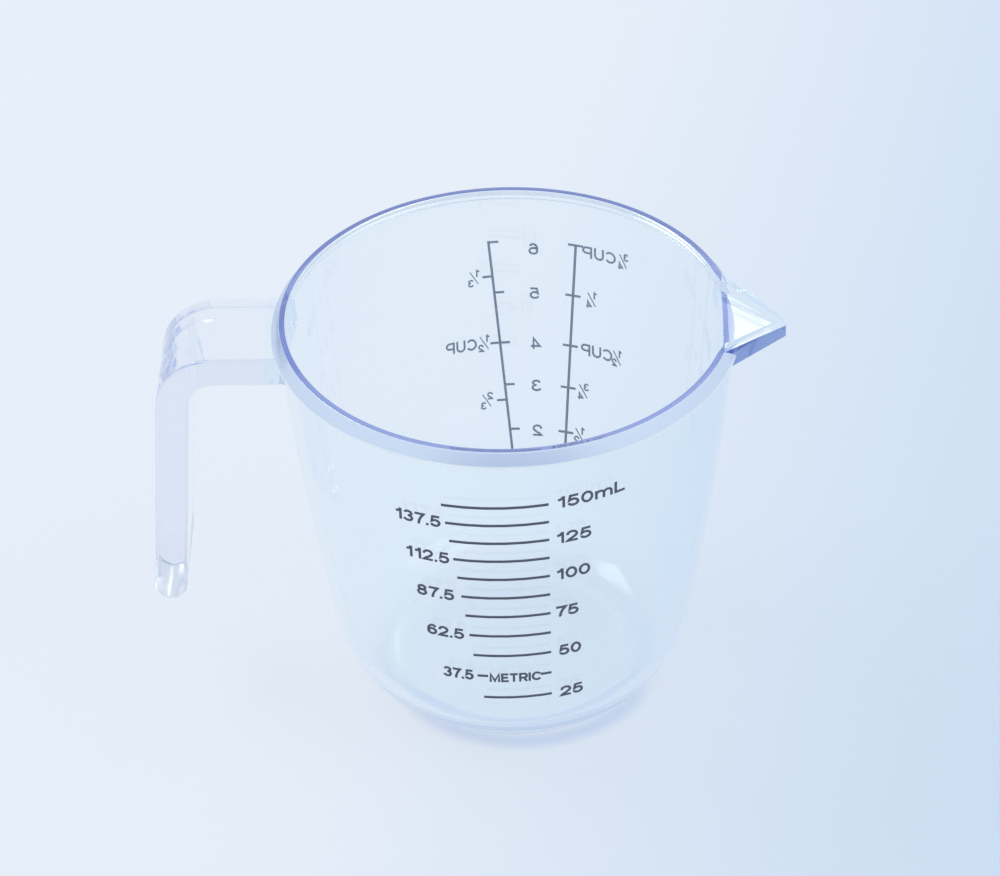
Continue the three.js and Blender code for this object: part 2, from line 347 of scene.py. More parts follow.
# Cup body
def foot_points():
    """Hollow under the floor, led down to the foot ring on a soft curve."""
    inner = FOOT_INNER_R - FOOT_EASE
    points = [(0, FOOT_RECESS)]
    for i in range(FOOT_STEPS + 1):
        share = i / FOOT_STEPS
        z = FOOT_RECESS * (1 + math.cos(math.pi * share)) / 2
        points.append((inner + FOOT_EASE * share, z))
    return points


def outer_outline():
    foot_angle = math.atan2(-ROUND_Z, FOOT_OUTER_R - ROUND_R)
    side = arc(ROUND_R, ROUND_Z, BOTTOM_ROUND, foot_angle, -ROUND_LEAN, BOTTOM_STEPS)[FOOT_EDGE_POINTS:]
    under = LIP_BOTTOM_Z
    root_r, root_z = wall_radius(under) + LIP_ROOT_EDGE, under - LIP_ROOT_EDGE
    face_r = LIP_OUTER_R - LIP_DRAFT
    bevel_low = (face_r, CUP_HEIGHT - LIP_BEVEL_DROP)
    bevel_top = (face_r - LIP_BEVEL_WIDTH, CUP_HEIGHT)
    points = foot_points()
    points += eased((FOOT_INNER_R, 0), (FOOT_OUTER_R, 0), side[0], FOOT_EDGE)
    points += side
    points += wall_points(wall_radius, CONTACT_Z, root_z)
    points += arc(root_r, root_z, LIP_ROOT_EDGE, math.pi, math.pi / 2, LIP_ROOT_STEPS)
    points += arc(LIP_OUTER_R - LIP_EDGE, under + LIP_EDGE, LIP_EDGE, -math.pi / 2, 0, LIP_EDGE_STEPS)
    points += eased((LIP_OUTER_R, under), bevel_low, bevel_top, LIP_EDGE)
    points += eased(bevel_low, bevel_top, (0, CUP_HEIGHT), LIP_EDGE)
    points.append((0, CUP_HEIGHT))
    return points


def inner_outline():
    edge_r = ROUND_R + FLOOR_EDGE_RUN
    edge_z = CUP_HEIGHT - RIM_INNER_EDGE
    points = [(0, FLOOR_Z)]
    points += arc(edge_r, FLOOR_EDGE_Z, FLOOR_EDGE_ROUND, -math.pi / 2, JOIN_ANGLE, FLOOR_EDGE_STEPS)
    points += arc(ROUND_R, ROUND_Z, INNER_ROUND, JOIN_ANGLE, -ROUND_LEAN, INNER_ROUND_STEPS)[1:]
    points += wall_points(inner_wall_radius, INNER_CONTACT_Z, edge_z)
    r = inner_wall_radius(edge_z) + RIM_INNER_EDGE
    points += arc(r, edge_z, RIM_INNER_EDGE, math.pi, math.pi / 2, EDGE_STEPS)[1:]
    points += [(r, CUP_HEIGHT + CUT_MARGIN), (0, CUP_HEIGHT + CUT_MARGIN)]
    return points


SPOUT_ROOT_X = inner_wall_radius(CUP_HEIGHT) - CUT_MARGIN
SPOUT_CREASE_X = inner_wall_radius(CUP_HEIGHT) - SPOUT_CREASE_INSET
SPOUT_BOTTOM_Z = CUP_HEIGHT - SPOUT_ROOT_DEPTH - SPOUT_UNDER_FALL
TROUGH_APEX_X = SPOUT_REACH + SPOUT_TIP_WIDTH / 2 - SPOUT_WALL * math.sqrt(2)
TROUGH_HALF = TROUGH_APEX_X - SPOUT_CREASE_X


def make_spout():
    """The pouring lip without its channel."""
    tip_half = SPOUT_TIP_WIDTH / 2
    root_half = tip_half + SPOUT_REACH - SPOUT_ROOT_X
    plan = [
        (SPOUT_ROOT_X, -root_half), (SPOUT_REACH, -tip_half),
        (SPOUT_REACH, tip_half), (SPOUT_ROOT_X, root_half),
    ]
    rounded = rounded_polygon(plan, SPOUT_TIP_ROUND)
    block = prism("spout", rounded, SPOUT_BOTTOM_Z - CUT_MARGIN, CUP_HEIGHT + CUT_MARGIN)
    end_x = SPOUT_REACH + TIP_MARGIN
    side = [
        (SPOUT_ROOT_X, CUP_HEIGHT),
        (SPOUT_ROOT_X, CUP_HEIGHT - SPOUT_ROOT_DEPTH),
        (SPOUT_CREASE_X, CUP_HEIGHT - SPOUT_ROOT_DEPTH),
        (end_x, SPOUT_BOTTOM_Z - TIP_MARGIN_UNDER_FALL),
        (end_x, CUP_HEIGHT - SPOUT_EDGE_FALL - TIP_MARGIN_EDGE_FALL),
        (SPOUT_CREASE_X, CUP_HEIGHT),
    ]
    return boolean(block, prism_y("spout_side", side, 2 * root_half + CUT_MARGIN), "INTERSECT")


def make_trough():
    """The room of the pouring lip's channel."""
    plan = [
        (SPOUT_ROOT_X, -TROUGH_HALF), (SPOUT_CREASE_X, -TROUGH_HALF), (TROUGH_APEX_X, 0),
        (SPOUT_CREASE_X, TROUGH_HALF), (SPOUT_ROOT_X, TROUGH_HALF),
    ]
    block = prism("trough", plan, SPOUT_BOTTOM_Z, CUP_HEIGHT + 2 * CUT_MARGIN)
    top = CUP_HEIGHT + CUT_MARGIN
    start_x, end_x = SPOUT_ROOT_X - TROUGH_MARGIN, TROUGH_APEX_X + TROUGH_MARGIN
    crease_floor = CUP_HEIGHT - SPOUT_FLOOR_DROP
    apex_floor = crease_floor - SPOUT_FLOOR_FALL * TROUGH_HALF / (SPOUT_REACH - SPOUT_CREASE_X)
    slope = (apex_floor - crease_floor) / (end_x - SPOUT_CREASE_X)
    side = [
        (start_x, top),
        (start_x, crease_floor),
        (SPOUT_CREASE_X, crease_floor),
        (SPOUT_CREASE_X + SPOUT_CREASE_WIDTH, crease_floor + SPOUT_CREASE_WIDTH * slope),
        (end_x, apex_floor),
        (end_x, top),
    ]
    return boolean(block, prism_y("trough_side", side, 4 * TROUGH_HALF), "INTERSECT")


# Handle
HANDLE_TOP_Z = CUP_HEIGHT - HANDLE_TOP_DROP
HANDLE_UNDER_Z = HANDLE_TOP_Z - HANDLE_THICKNESS
HANDLE_ROOT_X = -(LIP_OUTER_R + HANDLE_ROOT_STAND)
BEND_Z = HANDLE_TOP_Z - HANDLE_OUTER_BEND
END_ROUND = HANDLE_THICKNESS / 2
MIDDLE_BEND = HANDLE_OUTER_BEND - END_ROUND
LEG_LENGTH = (BEND_Z + MIDDLE_BEND * math.sin(HANDLE_LEG_LEAN)
              - (HANDLE_TOP_Z - HANDLE_LEG_DROP + END_ROUND)) / math.cos(HANDLE_LEG_LEAN)
BEND_X = (-HANDLE_REACH + END_ROUND + MIDDLE_BEND * math.cos(HANDLE_LEG_LEAN)
          + LEG_LENGTH * math.sin(HANDLE_LEG_LEAN))


def strap_side(inset):
    """Side outline of the free strap, drawn in by inset everywhere but at its flat root."""
    outward = math.pi - HANDLE_LEG_LEAN
    end_x = BEND_X + MIDDLE_BEND * math.cos(outward) - LEG_LENGTH * math.sin(HANDLE_LEG_LEAN)
    end_z = BEND_Z + MIDDLE_BEND * math.sin(outward) - LEG_LENGTH * math.cos(HANDLE_LEG_LEAN)
    inner_bend = HANDLE_OUTER_BEND - HANDLE_THICKNESS + inset
    root_x = HANDLE_ROOT_X - HANDLE_ROOT_GAP
    points = [(root_x, HANDLE_TOP_Z - inset)]
    points += arc(BEND_X, BEND_Z, HANDLE_OUTER_BEND - inset, math.pi / 2, outward, BEND_STEPS)
    points += arc(end_x, end_z, END_ROUND - inset, outward, outward + math.pi, END_STEPS)
    points += arc(BEND_X, BEND_Z, inner_bend, outward, math.pi / 2, BEND_STEPS)
    points.append((root_x, HANDLE_UNDER_Z + inset))
    return points


def stub_side(inset):
    """Side outline of the handle's root on the cup, up to the flat face of the strap."""
    inside = -(inner_wall_radius(CUP_HEIGHT) - CUT_MARGIN)
    top, under = HANDLE_TOP_Z - inset, HANDLE_UNDER_Z + inset
    return [(inside, top), (HANDLE_ROOT_X, top), (HANDLE_ROOT_X, under), (inside, under)]


def rounded_width(name, side_at):
    """A solid of the handle's width whose long edges are rounded."""
    half = HANDLE_WIDTH / 2
    loops = []
    for k in reversed(range(STRAP_EDGE_STEPS + 1)):
        angle = math.pi / 2 * k / STRAP_EDGE_STEPS
        y = -half + HANDLE_EDGE_ROUND * (1 - math.sin(angle))
        loops.append((y, HANDLE_EDGE_ROUND * (1 - math.cos(angle))))
    loops += [(-y, inset) for y, inset in reversed(loops)]
    return loft(name, [[(x, y, z) for x, z in side_at(inset)] for y, inset in loops])


def smooth_step(value, low, high):
    share = max(0.0, min(1.0, (value - low) / (high - low)))
    return share * share * (3 - 2 * share)


def make_cavity():
    """The room inside the cup, with its wall drawn straight along the spout's crease."""
    cavity = lathe("cavity", inner_outline())
    for v in cavity.data.vertices:
        if v.co.x < LIP_OUTER_R / 2:
            continue
        across = 1 - smooth_step(abs(v.co.y), TROUGH_HALF - FLAT_INSIDE_ENDS, TROUGH_HALF + FLAT_PAST_ENDS)
        up = smooth_step(v.co.z, CUP_HEIGHT - FLAT_FADE_DEPTH, CUP_HEIGHT - FLAT_TOP_DEPTH)
        straight = inner_wall_radius(min(v.co.z, CUP_HEIGHT)) - SPOUT_CREASE_INSET
        v.co.x += across * up * (straight - v.co.x)
    return cavity


def make_cup():
    body = lathe("cup_shell", outer_outline())
    boolean(body, make_spout(), "UNION")
    boolean(body, rounded_width("stub", stub_side), "UNION")
    boolean(body, make_cavity(), "DIFFERENCE")
    boolean(body, make_trough(), "DIFFERENCE")
    merge_points(body)
    return body


# Node helpers
def node_material(name):
    material = bpy.data.materials.new(name)
    material.use_nodes = True
    tree = material.node_tree
    return material, tree, tree.nodes["Principled BSDF"], tree.nodes["Material Output"]


def noise(tree, scale):
    coords = tree.nodes.new("ShaderNodeTexCoord")
    texture = tree.nodes.new("ShaderNodeTexNoise")
    texture.inputs["Scale"].default_value = scale
    texture.inputs["Detail"].default_value = NOISE_DETAIL
    tree.links.new(coords.outputs["Object"], texture.inputs["Vector"])
    return texture.outputs["Fac"]


def split_place(tree, position):
    """The three parts of a place, as sockets by the names X, Y and Z."""
    split = tree.nodes.new("ShaderNodeSeparateXYZ")
    tree.links.new(position, split.inputs["Vector"])
    return split.outputs


def map_range(tree, value, low, high):
    """A value between 0 and 1 brought between low and high."""
    ramp = tree.nodes.new("ShaderNodeMapRange")
    ramp.inputs["To Min"].default_value = low
    ramp.inputs["To Max"].default_value = high
    tree.links.new(value, ramp.inputs["Value"])
    return ramp.outputs["Result"]


def soft_rise(tree, value, start, end, top=1.0):
    """A soft rise from 0, where the value is start, to top, where it is end."""
    ramp = tree.nodes.new("ShaderNodeMapRange")
    ramp.interpolation_type = "SMOOTHSTEP"
    ramp.inputs["From Min"].default_value = start
    ramp.inputs["From Max"].default_value = end
    ramp.inputs["To Max"].default_value = top
    tree.links.new(value, ramp.inputs["Value"])
    return ramp.outputs["Result"]


def calculate(tree, operation, first, second):
    """One operation on a socket and on a second socket or a number."""
    node = tree.nodes.new("ShaderNodeMath")
    node.operation = operation
    tree.links.new(first, node.inputs[0])
    if isinstance(second, float):
        node.inputs[1].default_value = second
    else:
        tree.links.new(second, node.inputs[1])
    return node.outputs["Value"]


def mix_colours(tree, share, first, second):
    """A colour between two."""
    mix = tree.nodes.new("ShaderNodeMix")
    mix.data_type = "RGBA"
    mix.inputs["A"].default_value = (*first, 1)
    mix.inputs["B"].default_value = (*second, 1)
    tree.links.new(share, mix.inputs["Factor"])
    return mix.outputs["Result"]


def mix_shaders(tree, share, first, second):
    mix = tree.nodes.new("ShaderNodeMixShader")
    tree.links.new(share, mix.inputs["Fac"])
    tree.links.new(first, mix.inputs[1])
    tree.links.new(second, mix.inputs[2])
    return mix.outputs["Shader"]


def add_bump(tree, shader, height, strength, depth):
    bump = tree.nodes.new("ShaderNodeBump")
    bump.inputs["Strength"].default_value = strength
    bump.inputs["Distance"].default_value = depth
    tree.links.new(height, bump.inputs["Height"])
    tree.links.new(bump.outputs["Normal"], shader.inputs["Normal"])


def seen_rays(tree):
    """1 for what is seen, also in a mirror image or through clear plastic, and 0 for other light."""
    rays = tree.nodes.new("ShaderNodeLightPath").outputs
    bounced = calculate(tree, "MAXIMUM", rays["Is Glossy Ray"], rays["Is Transmission Ray"])
    return calculate(tree, "MAXIMUM", rays["Is Camera Ray"], bounced)


# Materials
NOISE_DETAIL = 3.0
PLASTIC_IOR = 1.5
CLEAR_TINT = (0.965, 0.995, 1.0)
STRAP_TINT = (1.0, 0.995, 1.0)
# Dark blue of the rim's top and the crease strip: painted shade standing in for the blue that light bent
# along the rim shows
RIM_PAINTED_SHADE = (0.23, 0.27, 0.65)
# Dark blue of the spout's front side: painted shade standing in for the blue that light bent through the
# spout shows
SPOUT_PAINTED_SHADE = (0.13, 0.20, 0.52)
RIM_HAZE = 0.18
BEVEL_HAZE = 0.3
SPOUT_HAZE = 0.12

# Faint waves of the surface, and the blue that builds up along the way through the plastic
WAVE_SCALE = 60.0
WAVE_HAZE = 0.02
WAVE_STRENGTH, WAVE_DEPTH = 0.03, 0.0003
DEPTH_COLOUR = (0.2, 0.333, 0.733)
DEPTH_DENSITY = 7.5

# Haze at the low end of a piece, and the heights in millimetres between which it grows
LOW_END_HAZE = 0.22
FOOT_LEVELS = (9.0, 0.0)
STRAP_END_LEVELS = (26.0, 20.0)

# Light that has met more surfaces than this leaves the plastic as an even blue
TRAPPED_DEPTH = 4.5
STRAP_TRAPPED_DEPTH = 12.5
TRAPPED_COLOUR = (0.67, 0.79, 0.96)

METRIC_DARK, METRIC_LIGHT = (0.145, 0.160, 0.215), (0.215, 0.235, 0.315)
# The rear scale's ink is partly the print's own colour and partly painted light: it is made lighter to stand
# in for light that reaches it through the wall
OUNCE_DARK, OUNCE_LIGHT = (0.330, 0.400, 0.500), (0.460, 0.540, 0.660)
INK_GRAIN_SCALE = 4000.0
INK_ROUGHNESS = (0.45, 0.65)
INK_STRENGTH, INK_DEPTH = 0.15, 0.00002


def clear_plastic(name, tint_and_painted_shade, haze=0.0, low_end=FOOT_LEVELS, trapped_depth=TRAPPED_DEPTH):
    """Clear moulded plastic, faintly wavy, hazier at its low end, bluer along its edges."""
    material, tree, shader, output = node_material(name)
    # Base colour: the plastic's faint tint, and for the rim and spout looks a painted dark blue shade
    shader.inputs["Base Color"].default_value = (*tint_and_painted_shade, 1)
    shader.inputs["Transmission Weight"].default_value = 1.0
    shader.inputs["IOR"].default_value = PLASTIC_IOR
    waves = noise(tree, WAVE_SCALE)
    coords = tree.nodes.new("ShaderNodeTexCoord")
    level = split_place(tree, coords.outputs["Object"])["Z"]
    cloud = soft_rise(tree, level, low_end[0] * MM, low_end[1] * MM, LOW_END_HAZE)
    rough = calculate(tree, "ADD", map_range(tree, waves, haze, haze + WAVE_HAZE), cloud)
    tree.links.new(rough, shader.inputs["Roughness"])
    add_bump(tree, shader, waves, WAVE_STRENGTH, WAVE_DEPTH)
    absorb = tree.nodes.new("ShaderNodeVolumeAbsorption")
    absorb.inputs["Color"].default_value = (*DEPTH_COLOUR, 1)
    absorb.inputs["Density"].default_value = DEPTH_DENSITY
    tree.links.new(absorb.outputs["Volume"], output.inputs["Volume"])

    path = tree.nodes.new("ShaderNodeLightPath")
    trapped = calculate(tree, "GREATER_THAN", path.outputs["Ray Depth"], trapped_depth)
    glow = tree.nodes.new("ShaderNodeEmission")
    glow.inputs["Color"].default_value = (*TRAPPED_COLOUR, 1)
    surface = mix_shaders(tree, trapped, shader.outputs["BSDF"], glow.outputs["Emission"])
    tree.links.new(surface, output.inputs["Surface"])
    material.cycles.emission_sampling = "NONE"
    return material


def ink(name, dark, light):
    material, tree, shader, _output = node_material(name)
    grain = noise(tree, INK_GRAIN_SCALE)
    tree.links.new(mix_colours(tree, grain, dark, light), shader.inputs["Base Color"])
    tree.links.new(map_range(tree, grain, *INK_ROUGHNESS), shader.inputs["Roughness"])
    add_bump(tree, shader, grain, INK_STRENGTH, INK_DEPTH)
    return material


plastic = clear_plastic("clear_plastic", CLEAR_TINT)
strap_plastic = clear_plastic(
    "clear_plastic_handle", STRAP_TINT, low_end=STRAP_END_LEVELS, trapped_depth=STRAP_TRAPPED_DEPTH)
rim_painted_shade_plastic = clear_plastic("clear_plastic_rim", RIM_PAINTED_SHADE, RIM_HAZE)
bevel_plastic = clear_plastic("clear_plastic_bevel", CLEAR_TINT, BEVEL_HAZE)
spout_painted_shade_plastic = clear_plastic("clear_plastic_spout", SPOUT_PAINTED_SHADE, SPOUT_HAZE)
INKS = {
    "metric_ink": ink("metric_ink", METRIC_DARK, METRIC_LIGHT),
    "ounce_ink": ink("ounce_ink", OUNCE_DARK, OUNCE_LIGHT),
}

# Looks of the cup after its first, and how the faces that have them are told apart: distances in
# millimetres, and parts of a face's direction
RIM_LOOK, BEVEL_LOOK, SPOUT_LOOK = 1, 2, 3
RIM_NEAR, CREASE_NEAR, BEVEL_NEAR = 0.02, 0.1, 1.5
RIM_UP, CREASE_UP, BEVEL_UP, SIDE_UP = 0.95, 0.9, (0.3, 0.8), 0.02
SIDE_AHEAD = 0.6


def paint_edge_shade_and_haze(piece):
    """Give the flat rim, the crease, the bevel and the front side of the spout their own looks: painted dark
    blue shade on the flat rim, the crease and the spout's side, and haze on the bevel.
    """
    inner_r = inner_wall_radius(CUP_HEIGHT)
    crease_end = SPOUT_CREASE_X + SPOUT_CREASE_WIDTH
    crease_z = CUP_HEIGHT - SPOUT_FLOOR_DROP
    bevel_r, bevel_z = LIP_OUTER_R - BEVEL_NEAR, CUP_HEIGHT - LIP_BEVEL_DROP
    for face in piece.data.polygons:
        x, _y, z = face.center
        r = face.center.xy.length
        ahead, across, up = face.normal
        if z > CUP_HEIGHT - RIM_NEAR and up > RIM_UP and r > inner_r and x < SPOUT_CREASE_X:
            face.material_index = RIM_LOOK
        elif abs(z - crease_z) < CREASE_NEAR and up > CREASE_UP and SPOUT_CREASE_X < x < crease_end:
            face.material_index = RIM_LOOK
        elif z > bevel_z and BEVEL_UP[0] < up < BEVEL_UP[1] and r > bevel_r:
            face.material_index = BEVEL_LOOK
        elif x > SPOUT_CREASE_X and abs(up) < SIDE_UP and ahead > SIDE_AHEAD and across < 0:
            face.material_index = SPOUT_LOOK


cup = make_cup()
soften(cup)
cup.data.materials.clear()
for look in (plastic, rim_painted_shade_plastic, bevel_plastic, spout_painted_shade_plastic):
    cup.data.materials.append(look)
paint_edge_shade_and_haze(cup)
place(cup)
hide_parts("cup_body")
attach(cup, "root")

strap = rounded_width("strap_handle", strap_side)
soften(strap)
place(strap)
strap.data.materials.append(strap_plastic)
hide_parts("handle")
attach(strap, "root")

for name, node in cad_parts.items():
    if name.startswith(("line_", "ounce_")):
        node.data.materials.clear()
        node.data.materials.append(INKS["metric_ink" if name.startswith("line_") else "ounce_ink"])


# Lettering of the two scales: each sign has a width and a few strokes, on a cap height of 1
def bow(x, z, rx, rz, start, end, steps=16):
    """Points on an ellipse, angles in degrees."""
    turns = [math.radians(start + (end - start) * i / steps) for i in range(steps + 1)]
    return [(x + rx * math.cos(t), z + rz * math.sin(t)) for t in turns]


P_BOWL = [(0.09, 0.92)] + bow(0.45, 0.68, 0.25, 0.24, 90, -90) + [(0.09, 0.44)]
SIGNS = {
    "0": (0.78, [bow(0.39, 0.5, 0.31, 0.42, 0, 360, 28)]),
    "1": (0.56, [[(0.46, 0), (0.46, 1)], [(0.10, 0.72), (0.26, 0.75), (0.38, 0.84), (0.43, 0.98)]]),
    "2": (0.78, [
        bow(0.40, 0.665, 0.30, 0.255, 185, -35) + [(0.42, 0.33), (0.20, 0.20), (0.09, 0.08), (0.76, 0.08)],
    ]),
    "3": (0.76, [bow(0.38, 0.725, 0.27, 0.195, 165, -90), bow(0.38, 0.305, 0.31, 0.225, 90, -165)]),
    "4": (0.80, [[(0.56, 0), (0.56, 0.96), (0.06, 0.27), (0.78, 0.27)]]),
    "5": (0.78, [[(0.70, 0.92), (0.20, 0.92), (0.12, 0.49)] + bow(0.38, 0.34, 0.31, 0.26, 140, -160)]),
    "6": (0.78, [bow(0.40, 0.33, 0.30, 0.25, 0, 360, 24), bow(0.42, 0.5, 0.32, 0.42, 40, 210)]),
    "7": (0.76, [[(0.04, 0.92), (0.72, 0.92), (0.50, 0.62), (0.37, 0.32), (0.32, 0)]]),
    "8": (0.78, [bow(0.39, 0.73, 0.26, 0.19, 0, 360, 24), bow(0.39, 0.305, 0.31, 0.225, 0, 360, 24)]),
    ".": (0.20, [[(0.10, 0), (0.10, 0.18)]]),
    "m": (1.20, [
        [(0.09, 0), (0.09, 0.74)],
        [(0.09, 0.40)] + bow(0.345, 0.42, 0.255, 0.24, 180, 0) + [(0.60, 0)],
        [(0.60, 0.40)] + bow(0.855, 0.42, 0.255, 0.24, 180, 0) + [(1.11, 0)],
    ]),
    "L": (0.72, [[(0.09, 1), (0.09, 0.08), (0.72, 0.08)]]),
    "C": (0.84, [bow(0.47, 0.5, 0.38, 0.42, 38, 322)]),
    "U": (0.80, [[(0.09, 1)] + bow(0.40, 0.38, 0.31, 0.30, 180, 360) + [(0.71, 1)]]),
    "P": (0.76, [[(0.09, 0), (0.09, 1)], P_BOWL]),
    "M": (0.96, [[(0.09, 0), (0.09, 0.95), (0.48, 0.10), (0.87, 0.95), (0.87, 0)]]),
    "E": (0.68, [[(0.68, 0.92), (0.09, 0.92), (0.09, 0.08), (0.70, 0.08)], [(0.09, 0.51), (0.62, 0.51)]]),
    "T": (0.76, [[(0, 0.92), (0.76, 0.92)], [(0.38, 0.92), (0.38, 0)]]),
    "R": (0.76, [[(0.09, 0), (0.09, 1)], P_BOWL, [(0.44, 0.46), (0.70, 0)]]),
    "I": (0.18, [[(0.09, 0), (0.09, 1)]]),
}
SIGN_GAP = 0.12
PRINT_LIFT = 0.1
PRINT_ROOT = 0.02

# Distance under which a stroke closes on itself, and the limit on how far its corners reach out
CLOSED_GAP = 1e-6
CORNER_LIMIT = 0.45

# Middle of each scale about the cup's axis, and the slope of its lines along the wall
METRIC_SIDE = (math.radians(-90) + PRINT_TURN, METRIC_SKEW)
OUNCE_SIDE = (math.radians(90) + PRINT_TURN, OUNCE_SKEW)


def text_strokes(text, start, end, height):
    """Strokes of a word in millimetres, fitted between two places along the wall."""
    strokes, at = [], 0.0
    for sign in text:
        width, parts = SIGNS[sign]
        strokes += [[(at + x, z) for x, z in part] for part in parts]
        at += width + SIGN_GAP
    stretch = (end - start) / (at - SIGN_GAP)
    return [[(start + x * stretch, z * height) for x, z in part] for part in strokes]


def ribbon(line, width):
    """Left and right edges of a stroke of even width, and whether it closes on itself."""
    closed = math.dist(line[0], line[-1]) < CLOSED_GAP
    points = [Vector(p) for p in (line[:-1] if closed else line)]
    count = len(points)
    edges = []
    for i, here in enumerate(points):
        back = here - points[i - 1] if closed or i > 0 else Vector((0, 0))
        ahead = points[(i + 1) % count] - here if closed or i < count - 1 else Vector((0, 0))
        back.normalize()
        ahead.normalize()
        along = (back + ahead).normalized()
        reach = width / 2 / max(along.dot(ahead if ahead.length > 0 else back), CORNER_LIMIT)
        across = Vector((-along.y, along.x)) * reach
        edges.append((here + across, here - across))
    return edges, closed


def print_on_wall(name, side, level, strokes, width, slot):
    """Raised strokes of ink on the outside of the wall; level is the height of their foot at u = 0."""
    centre, slope = side
    verts, faces = [], []
    for line in strokes:
        edges, closed = ribbon(line, width)
        first = len(verts)
        for left, right in edges:
            corners = ((left, -PRINT_ROOT), (left, PRINT_LIFT), (right, PRINT_LIFT), (right, -PRINT_ROOT))
            for point, lift in corners:
                z = level + point.x * math.tan(slope) + point.y
                r = outer_radius(z)
                angle = centre + point.x / r
                verts.append(((r + lift) * math.cos(angle), (r + lift) * math.sin(angle), z))
        count = len(edges)
        for i in range(count if closed else count - 1):
            here, there = first + 4 * i, first + 4 * ((i + 1) % count)
            for k in range(4):
                n = (k + 1) % 4
                faces.append((here + k, here + n, there + n, there + k))
        if not closed:
            last = first + 4 * (count - 1)
            faces.append((first, first + 1, first + 2, first + 3))
            faces.append((last, last + 1, last + 2, last + 3))
    piece = new_object(name, verts, faces)
    recalc(piece)
    place(piece)
    piece.data.materials.append(INKS[slot])
    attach(piece, "root")


def metric_level(node):
    """Height that a line of the front scale has where u = 0, from its solid."""
    low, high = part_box(node)
    z = (low[2] + high[2]) / 2 / MM
    r = outer_radius(z)
    turns = [math.asin(max(-1, min(1, (x / MM - AXIS_X) / r))) for x in (low[0], high[0])]
    u = r * (sum(turns) / 2 - PRINT_TURN)
    return z - u * math.tan(METRIC_SKEW)


# Labels of the front scale: text, the line beside it, left and right end
METRIC_CAP = 2.25
METRIC_STROKE = 0.41
METRIC_LABELS = [
    ("150mL", "line_150_ml", 6.76, 17.90), ("125", "line_125_ml", 6.55, 12.26),
    ("100", "line_100_ml", 6.46, 11.99), ("75", "line_75_ml", 6.37, 10.06),
    ("50", "line_50_ml", 6.84, 10.40), ("25", "line_25_ml", 6.98, 10.70),
    ("137.5", "line_137_5_ml", -18.57, -10.98), ("112.5", "line_112_5_ml", -17.05, -9.83),
    ("87.5", "line_87_5_ml", -15.35, -9.29), ("62.5", "line_62_5_ml", -13.97, -7.93),
    ("37.5", "line_37_5_ml_left_dash", -11.53, -6.67),
]
for text, node, start, end in METRIC_LABELS:
    foot = metric_level(node) - METRIC_CAP / 2
    strokes = text_strokes(text, start, end, METRIC_CAP)
    label = "metric_label_" + text.replace(".", "_")
    print_on_wall(label, METRIC_SIDE, foot, strokes, METRIC_STROKE, "metric_ink")

UNIT_CAP = 1.9
UNIT_STROKE = 0.37
UNIT_DEPTH = 48.03
UNIT_START, UNIT_END = -4.1, 3.9
unit_foot = CUP_HEIGHT - UNIT_DEPTH - UNIT_CAP / 2
unit_strokes = text_strokes("METRIC", UNIT_START, UNIT_END, UNIT_CAP)
print_on_wall("metric_label_unit", METRIC_SIDE, unit_foot, unit_strokes, UNIT_STROKE, "metric_ink")


def ounce_foot(start, end, depth, height):
    """Foot height at u = 0 of a sign whose middle lies between start and end at a depth below the rim."""
    return CUP_HEIGHT - depth - height / 2 - (start + end) / 2 * math.tan(OUNCE_SKEW)


# Numerals of the rear scale, each with the depth of its middle
OUNCE_CAP = 2.1
OUNCE_STROKE = 0.33
NUMERAL_START, NUMERAL_END = -5.9, -4.2
OUNCE_NUMERALS = [("6", 11.4), ("5", 19.65), ("4", 29.0), ("3", 36.85), ("2", 45.2)]
for text, depth in OUNCE_NUMERALS:
    foot = ounce_foot(NUMERAL_START, NUMERAL_END, depth, OUNCE_CAP)
    strokes = text_strokes(text, NUMERAL_START, NUMERAL_END, OUNCE_CAP)
    print_on_wall("ounce_label_" + text, OUNCE_SIDE, foot, strokes, OUNCE_STROKE, "ounce_ink")

# Fractions of a cup: numerator, denominator, left end, depth of the middle, and the word CUP where it follows
FRACTION_WIDTH, FRACTION_HEIGHT = 2, 3.1
FRACTION_STROKE = 0.25
FRACTION_BAR = 0.16
CUP_FRACTIONS = [
    ("3", "4", -21.94, 10.55, (-19.52, -13.40)), ("1", "4", -15.98, 19.35, None),
    ("1", "2", -20.69, 28.70, (-18.76, -12.94)), ("3", "4", -14.26, 36.70, None),
    ("1", "2", -13.48, 45.00, None), ("1", "3", 3.92, 16.60, None),
    ("1", "2", 2.54, 28.85, (4.80, 10.12)), ("2", "3", 2.38, 39.60, None),
]

# In a fraction: its digits, the share of that width for a 1, where the lower digit starts, and how far
# the ends of the bar lie from the left end, the foot and the top
DIGIT_WIDTH, DIGIT_HEIGHT = 0.92, 1.32
ONE_SHARE = 0.72
LOWER_START = 1.12
BAR_START, BAR_END = 0.35, 1.72
BAR_FOOT, BAR_HEAD = 0.45, 0.35


def fraction_strokes(top, bottom, start):
    """A small numerator and denominator about a slanted bar, and the bar."""
    upper = text_strokes(top, start, start + DIGIT_WIDTH * (ONE_SHARE if top == "1" else 1), DIGIT_HEIGHT)
    upper = [[(u, z + FRACTION_HEIGHT - DIGIT_HEIGHT) for u, z in part] for part in upper]
    lower_start = start + LOWER_START
    lower = text_strokes(bottom, lower_start, lower_start + DIGIT_WIDTH, DIGIT_HEIGHT)
    bar = [(start + BAR_START, BAR_FOOT), (start + BAR_END, FRACTION_HEIGHT - BAR_HEAD)]
    return upper + lower, bar


